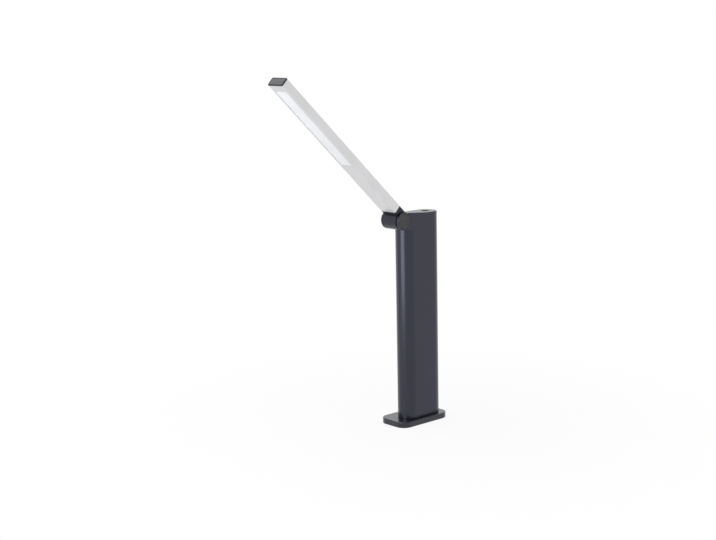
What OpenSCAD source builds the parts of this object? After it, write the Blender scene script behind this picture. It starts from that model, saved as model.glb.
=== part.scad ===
// Folding rechargeable desk lamp. Origin: centre of the base's underside.
// +Z is up, +X runs along the hinge axis towards the hinge ear, and the arm reaches out over -Y.

/* [Base] */
// Width of the base plate, along X
base_w = 41; // [34:0.5:60]
// Length of the base plate, along Y
base_l = 72.6; // [70:0.2:110]
// Height of the base's top above the desk
base_h = 6.8; // [5:0.1:10]
// Corner radius of the base plate
base_r = 11; // [6:0.5:16]
// Chamfer round the base plate's top edge
base_edge = 0.7; // [0.3:0.1:1.2]
// Thickness of the rubber foot pad
pad_t = 1.4; // [1:0.1:2]
// How far the foot pad stands below the base plate
pad_lift = 0.4; // [0.3:0.1:0.8]
// Margin between the base plate's edge and the foot pad
pad_inset = 2.4; // [1.5:0.1:4]

/* [Column] */
// Thickness of the column, along X
column_w = 25; // [23:0.2:30]
// Depth of the column, along Y
column_l = 55; // [52:0.5:70]
// Height of the column's top above the desk
column_top = 240; // [236:1:280]
// Offset of the column's centre from the base's centre, along X
column_x = 2.3; // [0:0.1:5]
// Offset of the column's centre from the base's centre, along Y
column_y = 4.35; // [0:0.05:6]
// Wall thickness of the two column shells
shell_t = 1.8; // [1.4:0.1:2.4]
// Width and depth of the groove along the shells' parting line
parting = 0.35; // [0.2:0.05:0.6]

/* [Hinge] */
// Distance of the hinge axis in front of the centre of the column's round nose
hinge_reach = 14.35; // [13.5:0.05:18]
// Distance of the hinge axis below the column's top
hinge_drop = 6.45; // [4:0.05:9]
// Radius of the hinge barrel and of the ear
hinge_r = 10.1; // [9.3:0.1:11]
// Thickness of the ear at the column's side
ear_t = 2.5; // [2.3:0.1:3.5]
// Radius of the ear's hub, on which the barrel turns
hub_r = 6.4; // [6:0.1:6.6]
// Length of the ear's hub
hub_len = 5; // [4.5:0.1:6]
// Radius of the hollow hinge pin
pin_r = 3; // [2.6:0.1:3.2]
// Radius of the lead's bore through the hinge pin
pin_bore_r = 1.5; // [1.4:0.05:1.6]
// Thickness of the barrel's web between its two pockets
web_t = 6; // [4:0.5:7]
// Thickness of each friction washer
washer_t = 0.5; // [0.4:0.05:0.8]
// Radius of the turned cover on the ear
cover_r = 9; // [8.6:0.1:9.1]
// Thickness of the turned cover on the ear
cover_t = 0.8; // [0.6:0.05:0.9]
// How far the barrel cap's round-edged face stands beyond the barrel's free end
barrel_crown = 1.6; // [1.3:0.1:2.4]

/* [Arm] */
// Width of the arm, along X
arm_w = 23.6; // [22:0.1:26]
// Thickness of the arm
arm_t = 10.2; // [9.6:0.1:12]
// Length from the hinge axis to the tip of the arm
arm_len = 226; // [200:0.5:226.5]
// Angle of the arm above the horizontal, as it stands
arm_pitch = 43.5; // [0:0.1:90]
// Length from the hinge axis to the start of the aluminium profile
profile_start = 15.2; // [13:0.1:20]
// Wall thickness of the aluminium profile
profile_t = 1.2; // [1:0.1:1.6]
// Radius of the arm's long edges
arm_edge = 1.5; // [1:0.1:2]
// Thickness of the end cap's face
cap_t = 1.6; // [1.2:0.1:2.5]
// Chamfer round the end cap's face
cap_edge = 0.4; // [0.2:0.05:0.8]

/* [Light] */
// Length of the diffuser's window
window_len = 119.5; // [100:0.5:125]
// Width of the diffuser's window
window_w = 17.6; // [15:0.1:17.8]
// Distance from the tip of the arm to the window
window_tip = 10.5; // [9:0.1:20]
// Number of light emitting diodes on the strip
led_count = 20; // [12:1:24]

/* [Button] */
// Radius of the power button
button_r = 4.4; // [4:0.1:6]
// Distance of the button's centre from the column's back
button_back = 13.3; // [13:0.1:19]
// Travel of the power button
button_travel = 0.6; // [0.3:0.05:0.8]

/* [Clearances] */
// Gap between pieces that are assembled and don't move
fit_gap = 0.1; // [0.05:0.01:0.15]
// Radial clearance of turning pieces
run_gap = 0.05; // [0.02:0.01:0.08]
// Gap between the barrel and the column's recess
swing_gap = 0.3; // [0.2:0.05:0.6]

/* [Hidden] */
$fn = 64;
eps = 0.01;

// Colours as the photograph shows them
satin_black = [0.16, 0.17, 0.19];
deep_black = [0.06, 0.06, 0.07];
silver = [0.80, 0.81, 0.82];
steel = [0.62, 0.63, 0.65];
milky = [0.95, 0.96, 0.97];
rubber_grey = [0.10, 0.10, 0.10];
board_green = [0.09, 0.32, 0.20];
board_white = [0.90, 0.91, 0.90];
cell_blue = [0.16, 0.35, 0.62];
copper = [0.80, 0.50, 0.28];

// Places that follow from the column's plan
nose_r = column_w / 2;
plan_half = column_l / 2 - nose_r;
nose_y = column_y - plan_half;
tail_y = column_y + plan_half;
side_x = column_x + nose_r;
inner_r = nose_r - shell_t;

// Hinge axis and the stack along it, from the ear towards the barrel's free end
hinge_y = nose_y - hinge_reach;
hinge_z = column_top - hinge_drop;
ear_in = side_x - ear_t;
face_gap = 0.4;
barrel_x1 = ear_in - face_gap;
barrel_x0 = barrel_x1 - arm_w;
arm_x = (barrel_x0 + barrel_x1) / 2;
hub_end = ear_in - hub_len;
web_x1 = hub_end - washer_t - run_gap;
web_x0 = web_x1 - web_t;
outer_washer_x0 = web_x0 - run_gap - washer_t;
spring_t = 1.6;
nut_t = 3.2;
nut_x1 = outer_washer_x0 - spring_t;
nut_x0 = nut_x1 - nut_t;
pin_x0 = nut_x0 - 0.8;
twist_x = pin_x0 - 1;
pocket_r = hinge_r - 1.7;
barrel_cap_t = 1.5;
crown_edge = 1.2;
washer_r = hub_r - 0.3;
head_r = 5;
head_t = 1;
cover_floor = side_x - cover_t;
channel_w = 2.8;
channel_t = 1.2;
recess_r = max(hinge_r, arm_t) + swing_gap;
notch_y = hinge_y + recess_r;

// Column interior
deck_t = 1.6;
rebate = 0.9;
deck_z = column_top - deck_t;
board_t = 1.2;
board_z = column_top - 9.6;
board_w = 2 * inner_r - 2.4;
board_y0 = notch_y + shell_t + 1.4;
button_cy = tail_y + nose_r - button_back;
button_flange = 0.8;
post_r = 2;
rear_post_y = button_cy + button_r + button_flange + 0.5 + post_r;
board_y1 = rear_post_y + 2.1;
switch_w = 4.5;
switch_h = 2.4;
plunger_r = 1.2;
plunger_h = 0.6;
plunger_top = board_z + switch_h + plunger_h;
stem_z = plunger_top + button_travel + 0.1;
button_top = column_top - 0.2;
flange_t = 0.9;
flange_z = deck_z - flange_t - fit_gap;
board_screw_len = 5;
board_head_h = 1.3;
post_ys = [board_y0 + 3.2, rear_post_y];
chip = 7;
chip_h = 1.2;
plug_w = 6;
plug_l = 5;
plug_h = 4;
plug_x = column_x - 4;
plug_reach = 22.5;
plug_y = board_y0 + plug_reach;

// Chassis, battery and charging board
block_h = 14;
cell_r = 9.2;
cell_len = 65;
cell_lift = 22;
cell_z = base_h + block_h + cell_lift;
cell_y = column_y - 12;
cradle_wall = 1.2;
contact_t = 0.5;
spine_t = 2;
spine_side = 1;
spine_y = cell_y + cell_r + fit_gap;
spine_drop = 22;
spine_top = board_z - spine_drop;
contact_w = 10;
contact_l = 8;
plate_t = 2;
wire_r = 0.7;
wire_x = column_x + 3;
wire_front_y = cell_y - 2;
wire_rear_y = spine_y + spine_t + 3;
wire_low_z = cell_z - 6;
wire_high_z = board_z - 14;
base_screw_ys = [nose_y + 2, tail_y - 2];
base_screw_r = 2;
screw_head_r = 3.8;
screw_head_h = 2.4;
port_z = base_h + block_h + 6;
port_w = 12.6;
port_h = 7;
port_depth = 1;
port_y = tail_y + nose_r - port_depth;
socket_w = 8.9;
socket_h = 3.3;
socket_len = 7.4;
charge_t = 1.2;
charge_y0 = spine_y + spine_t;
charge_y1 = tail_y + 7.8;
charge_w = 13;
shelf_t = 1.5;
charge_z = port_z - socket_h / 2 - charge_t;
lamp_z = port_z + 10;
lamp_r = 1.1;

// Arm interior, measured square to the arm
profile_end = arm_len - cap_t;
inner_w = arm_w - 2 * profile_t;
inner_t = arm_t - 2 * profile_t;
tongue_len = 12;
saddle_s = 3;
window_end = arm_len - window_tip;
window_start = window_end - window_len;
flange_w = 0.9;
flange_h = 1;
strip_t = 1;
strip_w = window_w - 1;
strip_v = arm_t - profile_t - strip_t;
led_h = 0.7;
duct_x = twist_x - 1.5;
duct_v = 4;
duct_r = 1.5;
lead_r = 0.9;
root_screw_s = profile_start + tongue_len / 2;
root_screw_x = 7;
root_screw_len = 3.2;
small_screw_r = 1;
small_head_r = 1.9;
sink = 0.8;
strip_over = 3;
reflector_over = 1;
cap_plug = 4;

// Plan outline of the column, drawn inset by a given amount
module column_plan(inset = 0) {
    translate([column_x, column_y])
        union() {
            square([column_w - 2 * inset, 2 * plan_half], center = true);
            for (side = [-1, 1])
                translate([0, side * plan_half])
                    circle(r = nose_r - inset, $fn = 96);
        }
}

// Rectangle with round corners, centred
module round_rect(w, l, r) {
    union() {
        square([w - 2 * r, l], center = true);
        square([w, l - 2 * r], center = true);
        for (sx = [-1, 1], sy = [-1, 1])
            translate([sx * (w / 2 - r), sy * (l / 2 - r)])
                circle(r = r, $fn = 64);
    }
}

// Block with true round vertical corners and a chamfer round its top
module chamfered_plate(w, l, r, h, edge) {
    linear_extrude(h - edge)
        round_rect(w, l, r);
    translate([0, 0, h - edge])
        for (sx = [-1, 1], sy = [-1, 1])
            translate([sx * (w / 2 - r), sy * (l / 2 - r), 0])
                cylinder(r1 = r, r2 = r - edge, h = edge, $fn = 64);
    translate([0, 0, h - edge])
        plate_bevel(w, l - 2 * r, edge);
    translate([0, 0, h - edge])
        rotate([0, 0, 90])
            plate_bevel(l, w - 2 * r, edge);
}

// Straight bar whose two long sides lean in by its height
module plate_bevel(w, l, edge) {
    rotate([90, 0, 0])
        linear_extrude(l, center = true)
            polygon([[-w / 2, 0], [w / 2, 0], [w / 2 - edge, edge], [-w / 2 + edge, edge]]);
}

// Cylinder along X between two places
module x_rod(x0, x1, r) {
    translate([x0, hinge_y, hinge_z])
        rotate([0, 90, 0])
            cylinder(r = r, h = x1 - x0, $fn = 96);
}

// Tube along X between two places
module x_tube(x0, x1, r, bore) {
    difference() {
        x_rod(x0, x1, r);
        x_rod(x0 - 1, x1 + 1, bore);
    }
}

// Lead of square section through a list of points, each run along one axis
module lead(points, r) {
    for (i = [0 : len(points) - 2])
        translate([for (k = [0 : 2]) min(points[i][k], points[i + 1][k]) - r])
            cube([for (k = [0 : 2]) abs(points[i][k] - points[i + 1][k]) + 2 * r]);
}

// Screw with a flat head, its tip up and its head's underside at z = 0
module screw(r, len, head_r, head_h) {
    cylinder(r = r, h = len, $fn = 32);
    translate([0, 0, -head_h])
        difference() {
            cylinder(r = head_r, h = head_h, $fn = 48);
            translate([0, 0, -1])
                cylinder(r = head_r * 0.45, h = 1 + head_h * 0.55, $fn = 6);
        }
}

// Puts what is drawn for a level arm at the hinge and at the arm's angle.
// There the arm runs along -Y from the axis, and its lit side is at z = 0.
module on_arm() {
    translate([0, hinge_y, hinge_z])
        rotate([-arm_pitch, 0, 0])
            children();
}

// Arm cross-section, extruded from one distance to another along the arm
module arm_bar(s0, s1, w, t, v0, r) {
    translate([arm_x, -s0, v0 + t / 2])
        rotate([90, 0, 0])
            linear_extrude(s1 - s0)
                round_rect(w, t, r);
}

// Box on the arm between two distances, two widths and two heights
module arm_box(s0, s1, w, v0, v1) {
    translate([arm_x - w / 2, -s1, v0])
        cube([w, s1 - s0, v1 - v0]);
}

module base_plate() {
    color(deep_black)
        difference() {
            translate([0, 0, pad_lift])
                chamfered_plate(base_w, base_l, base_r, base_h - pad_lift, base_edge);
            translate([0, 0, -eps])
                linear_extrude(pad_t + eps)
                    round_rect(base_w - 2 * pad_inset, base_l - 2 * pad_inset, base_r - pad_inset);
            for (y = base_screw_ys)
                translate([column_x, y, 0]) {
                    cylinder(r = base_screw_r + fit_gap, h = base_h + 1, $fn = 48);
                    cylinder(r = screw_head_r + 0.2, h = pad_t + screw_head_h + fit_gap, $fn = 48);
                }
        }
}

module foot_pad() {
    color(rubber_grey)
        linear_extrude(pad_t)
            round_rect(base_w - 2 * pad_inset - 2 * fit_gap, base_l - 2 * pad_inset - 2 * fit_gap,
                base_r - pad_inset - fit_gap);
}

module base_screws() {
    color(steel)
        for (y = base_screw_ys)
            translate([column_x, y, pad_t + screw_head_h + fit_gap])
                screw(base_screw_r, base_h + block_h - 5 - pad_t - screw_head_h, screw_head_r,
                    screw_head_h);
}

// Recess in the column's front in which the barrel and the arm's root turn
module hinge_recess(extra = 0) {
    x_rod(column_x - column_w, ear_in, recess_r + extra);
    translate([column_x - column_w, hinge_y - 2 * hinge_r, hinge_z])
        cube([ear_in - column_x + column_w, notch_y + extra - hinge_y + 2 * hinge_r,
            hinge_drop + 1]);
}

// Whole hollow column before it is parted into its two shells
module column_body() {
    difference() {
        union() {
            translate([0, 0, base_h])
                linear_extrude(column_top - base_h)
                    difference() {
                        column_plan();
                        column_plan(shell_t);
                    }
            intersection() {
                translate([0, 0, base_h])
                    linear_extrude(column_top - base_h)
                        column_plan();
                hinge_recess(shell_t);
            }
        }
        hinge_recess();
        deck_rebate();
        charging_recess();
        for (y = [nose_y - nose_r, tail_y + nose_r])
            translate([column_x, y, base_h + (column_top - base_h) / 2])
                cube([parting, 2 * parting, column_top], center = true);
    }
}

// Step round the inside of the column's rim, on which the top cover lies
module deck_rebate() {
    translate([0, 0, deck_z])
        linear_extrude(deck_t + 1)
            deck_plan(rebate);
}

// Plan of the top cover: the column's plan behind the hinge recess
module deck_plan(inset) {
    intersection() {
        column_plan(inset);
        translate([column_x - nose_r, notch_y + inset])
            square([column_w, column_l]);
    }
}

// Flat round the charging socket, the socket's opening and the charging light's hole
module charging_recess() {
    translate([column_x, port_y + port_depth, port_z])
        rotate([90, 0, 0]) {
            linear_extrude(2 * port_depth, center = true)
                round_rect(port_w, port_h, 2.4);
            linear_extrude(3 * shell_t, center = true)
                round_rect(socket_w + 2 * fit_gap, socket_h + 2 * fit_gap, socket_h / 2);
        }
    translate([column_x, tail_y, lamp_z])
        rotate([-90, 0, 0])
            cylinder(r = lamp_r + fit_gap, h = nose_r + 1, $fn = 32);
}

module left_shell() {
    color(satin_black)
        intersection() {
            column_body();
            translate([column_x - column_w, nose_y - 2 * nose_r, 0])
                cube([column_w, column_l + 2 * nose_r, column_top]);
        }
}

module right_shell() {
    color(satin_black)
        difference() {
            union() {
                intersection() {
                    column_body();
                    translate([column_x, nose_y - 2 * nose_r, 0])
                        cube([column_w, column_l + 2 * nose_r, column_top + 1]);
                }
                x_rod(ear_in, side_x, hinge_r);
                translate([ear_in, hinge_y, hinge_z - hinge_r])
                    cube([ear_t, nose_y - hinge_y + eps, hinge_r + hinge_drop]);
                x_rod(hub_end, ear_in + eps, hub_r);
            }
            x_rod(cover_floor, side_x + 1, cover_r);
            x_rod(cover_floor - head_t, side_x + 1, head_r + fit_gap);
            x_rod(hub_end - 1, side_x + 1, pin_r + fit_gap / 2);
            lead_channel();
            deck_rebate();
        }
}

// Channel that takes the lead from the column to the hinge pin, under the cover
module lead_channel() {
    translate([cover_floor - channel_t, hinge_y, hinge_z - channel_w / 2])
        cube([channel_t, notch_y + 2 * shell_t - hinge_y, channel_w]);
    translate([cover_floor - channel_t - shell_t, notch_y + shell_t, hinge_z - channel_w / 2])
        cube([channel_t + shell_t, 2 * shell_t, channel_w]);
}

module top_cover() {
    color(satin_black)
        difference() {
            union() {
                translate([0, 0, deck_z])
                    linear_extrude(deck_t)
                        deck_plan(rebate + fit_gap);
                for (y = post_ys)
                    translate([column_x, y, board_z])
                        cylinder(r = post_r, h = deck_z - board_z + eps, $fn = 32);
            }
            translate([column_x, button_cy, deck_z - 1])
                cylinder(r = button_r + 0.15, h = deck_t + 2, $fn = 96);
            for (y = post_ys)
                translate([column_x, y, board_z - 1])
                    cylinder(r = small_screw_r, h = board_screw_len + 1, $fn = 32);
        }
}

module button_cap() {
    color(deep_black)
        translate([column_x, button_cy, 0])
            rotate_extrude($fn = 96)
                polygon([[0, stem_z], [1.5, stem_z], [1.5, flange_z],
                    [button_r + button_flange, flange_z],
                    [button_r + button_flange, flange_z + flange_t],
                    [button_r, flange_z + flange_t], [button_r, button_top - 0.3],
                    [button_r - 0.3, button_top],
                    [button_r - 1, button_top], [button_r - 1.6, button_top - 0.4],
                    [0, button_top - 0.6]]);
}

module button_boot() {
    color(rubber_grey)
        translate([column_x, button_cy, 0])
            rotate_extrude($fn = 64)
                polygon([[button_r - 0.4, board_z], [button_r + 0.4, board_z],
                    [button_r - 0.6, flange_z - 0.05], [button_r - 1.3, flange_z - 0.05]]);
}

module tact_switch() {
    color(deep_black)
        translate([column_x, button_cy, board_z]) {
            translate([-switch_w / 2, -switch_w / 2, 0])
                cube([switch_w, switch_w, switch_h]);
            cylinder(r = plunger_r, h = switch_h + plunger_h, $fn = 48);
        }
}

module control_board() {
    color(board_green)
        difference() {
            union() {
                translate([0, 0, board_z - board_t])
                    linear_extrude(board_t)
                        intersection() {
                            column_plan(shell_t + 0.6);
                            translate([column_x - board_w / 2, board_y0])
                                square([board_w, board_y1 - board_y0]);
                        }
                translate([column_x - chip, board_y0 + chip, board_z - eps])
                    cube([chip, chip, chip_h]);
                translate([plug_x - plug_w / 2, plug_y - plug_l / 2, board_z - board_t - plug_h])
                    cube([plug_w, plug_l, plug_h + eps]);
            }
            for (y = post_ys)
                translate([column_x, y, board_z - board_t - 1])
                    cylinder(r = small_screw_r + 0.2, h = board_t + 2, $fn = 32);
        }
}

module board_screws() {
    color(steel)
        for (y = post_ys)
            translate([column_x, y, board_z - board_t])
                screw(small_screw_r, board_screw_len, small_head_r, board_head_h);
}

// Moulded spine that stands on the base and carries the battery and the charging board
module chassis() {
    color([0.20, 0.20, 0.22])
        difference() {
            union() {
                translate([0, 0, base_h])
                    linear_extrude(block_h)
                        column_plan(shell_t + fit_gap);
                translate([column_x - inner_r + spine_side, spine_y, base_h])
                    cube([2 * (inner_r - spine_side), spine_t, spine_top - base_h]);
                for (z = [cell_z - contact_t - plate_t, cell_z + cell_len + contact_t])
                    translate([0, 0, z])
                        linear_extrude(plate_t)
                            cell_plate();
                translate([column_x - charge_w / 2, charge_y0 - eps, charge_z - shelf_t])
                    cube([charge_w, tail_y - charge_y0, shelf_t]);
            }
            for (y = base_screw_ys)
                translate([column_x, y, base_h - 1])
                    cylinder(r = base_screw_r, h = block_h - 3, $fn = 48);
            translate([wire_x - 2 * wire_r, spine_y - 1, wire_low_z - 2 * wire_r])
                cube([4 * wire_r, spine_t + 2, 4 * wire_r]);
            translate([wire_x, wire_front_y, wire_low_z])
                cylinder(r = 1.6 * wire_r, h = 2 * cell_len, $fn = 32);
        }
}

// Plan of the plates that hold the battery's ends
module cell_plate() {
    intersection() {
        column_plan(shell_t + 0.3);
        translate([column_x - inner_r, cell_y - cell_r + 1])
            square([2 * inner_r, spine_y - cell_y + cell_r - 1 + eps]);
    }
}

module battery_cell() {
    color(cell_blue)
        translate([column_x, cell_y, cell_z]) {
            cylinder(r = cell_r, h = cell_len - 1.5, $fn = 96);
            cylinder(r = 3, h = cell_len, $fn = 48);
        }
}

module battery_contacts() {
    color(steel)
        for (z = [cell_z - contact_t, cell_z + cell_len])
            translate([column_x - contact_w / 2, cell_y - contact_l / 2, z])
                cube([contact_w, contact_l, contact_t]);
}

module charge_board() {
    color(board_green)
        translate([column_x - charge_w / 2, charge_y0 + fit_gap, charge_z])
            cube([charge_w, charge_y1 - charge_y0 - fit_gap, charge_t]);
}

// Charging socket with its mouth at the back
module charging_socket() {
    color(steel)
        translate([column_x, port_y, port_z])
            rotate([90, 0, 0])
                difference() {
                    linear_extrude(socket_len)
                        round_rect(socket_w, socket_h, socket_h / 2 - eps);
                    translate([0, 0, -1])
                        linear_extrude(socket_len)
                            difference() {
                                round_rect(socket_w - 0.6, socket_h - 0.6, socket_h / 2 - 0.35);
                                square([socket_w - 2.4, 0.7], center = true);
                            }
                }
}

module charge_light() {
    color(milky)
        translate([column_x, tail_y + inner_r - 3, lamp_z])
            rotate([-90, 0, 0])
                cylinder(r = lamp_r, h = shell_t + 3 - 0.15, $fn = 32);
}

// Leads among the battery, the charging board and the control board
module battery_leads() {
    board_top = charge_z + charge_t + wire_r;
    color(copper) {
        lead([[wire_x, wire_front_y, cell_z - contact_t - wire_r],
            [wire_x, wire_front_y, wire_low_z], [wire_x, wire_rear_y, wire_low_z],
            [wire_x, wire_rear_y, board_top]], wire_r);
        lead([[wire_x, wire_front_y, cell_z + cell_len + contact_t + wire_r],
            [wire_x, wire_front_y, board_z - board_t - wire_r]], wire_r);
        lead([[plug_x, wire_rear_y, board_top], [plug_x, wire_rear_y, wire_high_z],
            [plug_x, plug_y, wire_high_z], [plug_x, plug_y, board_z - board_t - plug_h - wire_r]],
            wire_r);
    }
}

module hinge_pin() {
    color(steel)
        difference() {
            union() {
                x_rod(pin_x0, cover_floor - head_t + eps, pin_r);
                x_rod(cover_floor - head_t, cover_floor, head_r);
            }
            x_rod(pin_x0 - 1, side_x, pin_bore_r);
            lead_channel();
        }
}

// Turned disc that covers the pin's head
module hinge_cover() {
    color(satin_black)
        translate([cover_floor, hinge_y, hinge_z])
            rotate([0, 90, 0])
                rotate_extrude($fn = 96)
                    polygon([[0, 0], [cover_r - fit_gap, 0], [cover_r - fit_gap, cover_t - 0.25],
                        [cover_r - fit_gap - 0.25, cover_t], [0, cover_t + 0.1]]);
}

module hub_washer() {
    color(copper)
        x_tube(hub_end - washer_t, hub_end, washer_r, pin_r + run_gap);
}

module outer_washer() {
    color(copper)
        x_tube(outer_washer_x0, outer_washer_x0 + washer_t, washer_r, pin_r + run_gap);
}

// Pair of dished washers that press the friction washers together
module spring_washers() {
    color(steel)
        translate([outer_washer_x0 - spring_t, hinge_y, hinge_z])
            rotate([0, 90, 0])
                rotate_extrude($fn = 64)
                    polygon([[pin_r + run_gap, 0], [pin_r + 1.2, 0], [washer_r - 0.4, 0.5],
                        [washer_r - 0.4, 1.1], [pin_r + 1.2, spring_t], [pin_r + run_gap, spring_t],
                        [pin_r + run_gap, 1.1], [washer_r - 1.4, 0.8], [pin_r + run_gap, 0.5]]);
}

module hinge_nut() {
    color(steel)
        difference() {
            x_rod_hex(nut_x0, nut_x1, 5.6);
            x_rod(nut_x0 - 1, nut_x1 + 1, pin_r);
        }
}

// Six-sided bar along X
module x_rod_hex(x0, x1, r) {
    translate([x0, hinge_y, hinge_z])
        rotate([0, 90, 0])
            cylinder(r = r, h = x1 - x0, $fn = 6);
}

// Lead from the control board through the channel and the hollow pin
module feed_lead() {
    turn_x = cover_floor - channel_t / 2;
    lead_w = channel_w - 4 * fit_gap;
    lead_t = channel_t - 2 * fit_gap;
    x0 = cover_floor - channel_t + fit_gap;
    x1 = column_x + board_w / 2;
    drop_y = board_y0 + lead_t;
    color(deep_black) {
        x_rod(twist_x, turn_x, pin_bore_r - 3 * fit_gap);
        translate([x0, hinge_y, hinge_z - lead_w / 2])
            cube([lead_t, drop_y + lead_t - hinge_y, lead_w]);
        translate([x1 - lead_t, drop_y, board_z])
            cube([x0 - x1 + lead_t + eps, lead_t, hinge_z + lead_w / 2 - board_z]);
    }
}

// Bore through the barrel and the root for the arm's lead
module lead_duct() {
    on_arm()
        translate([duct_x, 0, duct_v])
            rotate([90, 0, 0])
                cylinder(r = duct_r, h = profile_start + tongue_len + 1, $fn = 48);
}

// Barrel that turns on the ear's hub: a web between a pocket for the hub and one for the nut
module hinge_barrel() {
    color(deep_black)
        difference() {
            x_rod(barrel_x0, barrel_x1, hinge_r);
            x_rod(web_x1, barrel_x1 + 1, hub_r + run_gap);
            x_rod(web_x0 - 1, web_x1 + 1, pin_r + run_gap);
            x_rod(barrel_x0 - 1, web_x0, pocket_r);
            lead_duct();
        }
}

// Black start of the arm: a saddle on the barrel, and a tongue inside the profile
module arm_root() {
    color(deep_black)
        difference() {
            on_arm() {
                arm_bar(saddle_s, profile_start, arm_w, arm_t, 0, arm_edge);
                arm_box(profile_start - eps, profile_start + tongue_len, inner_w - 2 * fit_gap,
                    profile_t + fit_gap, arm_t - profile_t - fit_gap);
            }
            x_rod(barrel_x0 - 1, barrel_x1 + 1, hinge_r);
            lead_duct();
            on_arm()
                for (side = [-1, 1])
                    translate([arm_x + side * root_screw_x, -root_screw_s,
                            arm_t - sink - root_screw_len])
                        cylinder(r = small_screw_r, h = arm_t, $fn = 32);
        }
}

// Plug in the barrel's free end, with a face that covers the whole end and has a round edge
module barrel_cap() {
    color(deep_black)
        translate([barrel_x0, hinge_y, hinge_z])
            rotate([0, 90, 0])
                rotate_extrude($fn = 96)
                    polygon(concat(
                        [[0, -barrel_crown]],
                        [for (a = [0 : 15 : 90]) [hinge_r - crown_edge * (1 - sin(a)),
                            crown_edge * (1 - cos(a)) - barrel_crown]],
                        [[hinge_r, 0], [pocket_r - fit_gap, 0], [pocket_r - fit_gap, barrel_cap_t],
                            [0, barrel_cap_t]]));
}

module root_screws() {
    color(steel)
        on_arm()
            for (side = [-1, 1])
                translate([arm_x + side * root_screw_x, -root_screw_s, arm_t - sink])
                    rotate([180, 0, 0])
                        screw(small_screw_r, root_screw_len, small_head_r, sink);
}

module arm_profile() {
    color(silver)
        on_arm()
            difference() {
                arm_bar(profile_start, profile_end, arm_w, arm_t, 0, arm_edge);
                arm_box(profile_start - 1, profile_end + 1, inner_w, profile_t, arm_t - profile_t);
                arm_box(window_start, window_end, window_w, -1, profile_t + eps);
                for (side = [-1, 1])
                    translate([arm_x + side * root_screw_x, -root_screw_s, arm_t - sink]) {
                        cylinder(r = small_head_r + fit_gap, h = 2, $fn = 48);
                        translate([0, 0, -1])
                            cylinder(r = small_screw_r + fit_gap, h = 2, $fn = 32);
                    }
            }
}

module led_strip() {
    color(board_white)
        on_arm()
            arm_box(window_start - strip_over, window_end + strip_over, strip_w, strip_v,
                strip_v + strip_t - fit_gap);
}

module leds() {
    pitch = window_len / led_count;
    color([0.98, 0.85, 0.35])
        on_arm()
            for (i = [0 : led_count - 1])
                translate([arm_x - 1.75, -window_start - (i + 0.5) * pitch - 1.4, strip_v - led_h])
                    cube([3.5, 2.8, led_h]);
}

// White frame that keeps the light between the strip and the diffuser
module reflector() {
    low = profile_t + flange_h;
    color(board_white)
        on_arm()
            difference() {
                arm_box(window_start - reflector_over, window_end + reflector_over,
                    window_w + 2 * flange_w - 2 * fit_gap, low, strip_v);
                arm_box(window_start, window_end, window_w - 1, low - 1, strip_v + 1);
            }
}

// Milky strip with a flange that bears on the profile's wall
module diffuser() {
    color(milky)
        on_arm() {
            arm_box(window_start + fit_gap, window_end - fit_gap, window_w - 2 * fit_gap, 0.15,
                profile_t + flange_h);
            arm_box(window_start - flange_w, window_end + flange_w, window_w + 2 * flange_w,
                profile_t, profile_t + flange_h);
        }
}

module end_cap() {
    color(deep_black)
        on_arm()
            difference() {
                union() {
                    translate([arm_x, -profile_end, arm_t / 2])
                        rotate([90, 0, 0])
                            chamfered_plate(arm_w, arm_t, arm_edge, cap_t, cap_edge);
                    arm_box(profile_end - cap_plug, profile_end + eps, inner_w - 2 * fit_gap,
                        profile_t + fit_gap, arm_t - profile_t - fit_gap);
                }
                arm_box(profile_end - cap_plug - 1, profile_end - 1, inner_w - 3, profile_t + 1.4,
                    arm_t - profile_t - 1.4);
            }
}

module arm_lead() {
    rise_s = profile_start + tongue_len + 4 * lead_r;
    end_s = window_start - reflector_over - 2 * lead_r;
    color(deep_black)
        on_arm()
            lead([[twist_x - lead_r, 0, 0], [duct_x, 0, 0], [duct_x, 0, duct_v],
                [duct_x, -rise_s, duct_v], [duct_x, -rise_s, strip_v - lead_r],
                [duct_x, -end_s, strip_v - lead_r]], lead_r);
}

base_plate();
foot_pad();
base_screws();
left_shell();
right_shell();
top_cover();
button_cap();
button_boot();
tact_switch();
control_board();
board_screws();
chassis();
battery_cell();
battery_contacts();
charge_board();
charging_socket();
charge_light();
battery_leads();
hinge_pin();
hinge_cover();
hub_washer();
outer_washer();
spring_washers();
hinge_nut();
feed_lead();
hinge_barrel();
barrel_cap();
arm_root();
root_screws();
arm_profile();
led_strip();
leds();
reflector();
diffuser();
end_cap();
arm_lead();
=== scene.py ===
"""Looks of a folding desk lamp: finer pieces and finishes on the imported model, and its studio.

Lengths in the classes of the lamp's pieces are millimetres. Meshes, lamps and the camera are in
metres, in the model's frame: the origin is the centre of the base's underside, +Z is up, +X runs
along the hinge axis and the arm reaches out over -Y.
"""

import logging
import math
from contextlib import contextmanager
from dataclasses import dataclass, field
from enum import Enum
from typing import Callable, Iterator, Sequence, Tuple

import bmesh
import bpy
from mathutils import Matrix, Vector


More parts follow.
